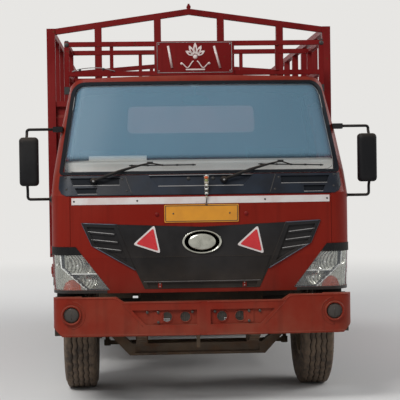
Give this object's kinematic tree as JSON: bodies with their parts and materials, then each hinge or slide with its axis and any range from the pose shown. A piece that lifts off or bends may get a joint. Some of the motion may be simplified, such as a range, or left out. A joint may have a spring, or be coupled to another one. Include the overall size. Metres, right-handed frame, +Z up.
{
  "type": "forward-control cargo truck with a cage body",
  "caption": "Light cargo truck with a tilting forward-control cab, roof rack with a sign board, high cage body with a drop tailgate and twin rear wheels.",
  "frame": {"origin": "on the ground under the middle of the overall box", "axes": "+Y from the bumper to the tailgate, +X to the vehicle's left, +Z up"},
  "size_m": [2.47, 6.05, 2.9099],
  "materials": {
    "cab_red": "brick red gloss paint, a little chalky",
    "bumper_red": "brick red paint with road dust",
    "cage_maroon": "dark maroon brushed-on paint over welded tube",
    "chassis_black": "black chassis paint, dusty",
    "cast_axle": "dark casting with rust and dust",
    "spring_steel": "rusted spring leaves",
    "engine_grey": "grey casting with oil",
    "tank_steel": "satin black tank",
    "exhaust_steel": "heat-stained steel",
    "black_plastic": "grained black plastic",
    "black_rubber": "dusty flap rubber",
    "seal_rubber": "black glazing rubber",
    "tyre_rubber": "worn tyre with brown dust",
    "wheel_paint": "grey wheel paint with dust",
    "floor_steel": "worn painted floor sheet",
    "cowl_dark": "blue-black vent panel",
    "grille_black": "black moulded grille",
    "lamp_silver": "silver reflector bowl",
    "lamp_clear": "clear polycarbonate lens",
    "lamp_red": "red lamp lens",
    "window_glass": "lightly tinted glass",
    "dash_beige": "beige dashboard",
    "seat_cloth": "dark woven seat cover"
  },
  "bodies": {
    "chassis": {"frame_rails": "chassis_black", "frame_cross_members": "chassis_black", "front_axle_beam": "cast_axle", "leaf_springs": "spring_steel", "rear_axle_housing": "cast_axle", "engine_and_gearbox": "engine_grey", "propeller_shaft": "chassis_black", "front_bumper": "bumper_red", "fuel_tank": "tank_steel", "battery_box": "black_plastic", "air_tanks": "chassis_black", "exhaust": "exhaust_steel", "spare_wheel": "tyre_rubber", "mud_flaps": "black_rubber", "side_guards": "cage_maroon", "rear_underrun_bar": "chassis_black", "body_lamps": "lamp_red", "cab_steps": "black_plastic", "cargo_floor": "floor_steel", "floor_bearers": "chassis_black", "cargo_front_wall": "cage_maroon", "cargo_side_left": "cage_maroon", "cargo_side_right": "cage_maroon", "side_frame_left": "cage_maroon", "side_frame_right": "cage_maroon", "cargo_rear_frame": "cage_maroon"},
    "cab": {"cab_shell": "cab_red", "cab_floor": "black_plastic", "front_panel": "cab_red", "cowl_panel": "cowl_dark", "grille": "grille_black", "headlamp_bowls": "lamp_silver", "headlamp_lenses": "lamp_clear", "windscreen_seal": "seal_rubber", "windscreen_glass": "window_glass", "rear_window_glass": "window_glass", "dashboard": "dash_beige", "steering_wheel": "black_plastic", "driver_seat": "seat_cloth", "passenger_seat": "seat_cloth", "wipers": "black_plastic", "mirrors": "black_plastic", "wheel_arch_liners": "black_plastic", "roof_rack": "cage_maroon"},
    "door_left": {"door_left": "cab_red", "door_left_glass": "window_glass"},
    "door_right": {"door_right": "cab_red", "door_right_glass": "window_glass"},
    "tailgate": {"tailgate": "cage_maroon"},
    "knuckle_left": {"knuckle_left": "cast_axle"},
    "knuckle_right": {"knuckle_right": "cast_axle"},
    "tie_rod": {"tie_rod": "chassis_black"},
    "wheel_front_left": {"wheel_front_left": "wheel_paint", "tyre_front_left": "tyre_rubber"},
    "wheel_front_right": {"wheel_front_right": "wheel_paint", "tyre_front_right": "tyre_rubber"},
    "wheel_rear_left": {"wheel_rear_left": "wheel_paint", "tyre_rear_left": "tyre_rubber"},
    "wheel_rear_right": {"wheel_rear_right": "wheel_paint", "tyre_rear_right": "tyre_rubber"}
  },
  "joints": [
    {"name": "cab_tilt", "type": "hinge", "parent": "chassis", "child": "cab", "pos_m": [0, -2.725, 0.82], "axis": [1, 0, 0], "range_deg": [0, 45]},
    {"name": "door_left_swing", "type": "hinge", "parent": "cab", "child": "door_left", "pos_m": [1.021, -2.535, 1.14], "axis": [0, 0, -1], "range_deg": [0, 70]},
    {"name": "door_right_swing", "type": "hinge", "parent": "cab", "child": "door_right", "pos_m": [-1.021, -2.535, 1.14], "axis": [0, 0, 1], "range_deg": [0, 70]},
    {"name": "tailgate_drop", "type": "hinge", "parent": "chassis", "child": "tailgate", "pos_m": [0, 3.009, 1.002], "axis": [-1, 0, 0], "range_deg": [0, 175]},
    {"name": "steer_left", "type": "hinge", "parent": "chassis", "child": "knuckle_left", "pos_m": [0.74, -1.975, 0.43], "axis": [0, 0, 1], "range_deg": [-35, 35]},
    {"name": "steer_right", "type": "hinge", "parent": "chassis", "child": "knuckle_right", "pos_m": [-0.74, -1.975, 0.43], "axis": [0, 0, 1], "range_deg": [-35, 35]},
    {"name": "tie_rod_pin", "type": "hinge", "parent": "knuckle_left", "child": "tie_rod", "pos_m": [0.67, -1.77, 0.36], "axis": [0, 0, 1], "range_deg": [-35, 35]},
    {"name": "front_left_spin", "type": "hinge", "parent": "knuckle_left", "child": "wheel_front_left", "pos_m": [0.85, -1.975, 0.43], "axis": [1, 0, 0], "continuous": true},
    {"name": "front_right_spin", "type": "hinge", "parent": "knuckle_right", "child": "wheel_front_right", "pos_m": [-0.85, -1.975, 0.43], "axis": [1, 0, 0], "continuous": true},
    {"name": "rear_left_spin", "type": "hinge", "parent": "chassis", "child": "wheel_rear_left", "pos_m": [0.7875, 1.395, 0.43], "axis": [1, 0, 0], "continuous": true},
    {"name": "rear_right_spin", "type": "hinge", "parent": "chassis", "child": "wheel_rear_right", "pos_m": [-0.7875, 1.395, 0.43], "axis": [1, 0, 0], "continuous": true}
  ],
  "couplings": [
    {"joint": "steer_right", "follows": "steer_left", "ratio": 1},
    {"joint": "tie_rod_pin", "follows": "steer_left", "ratio": -1}
  ]
}
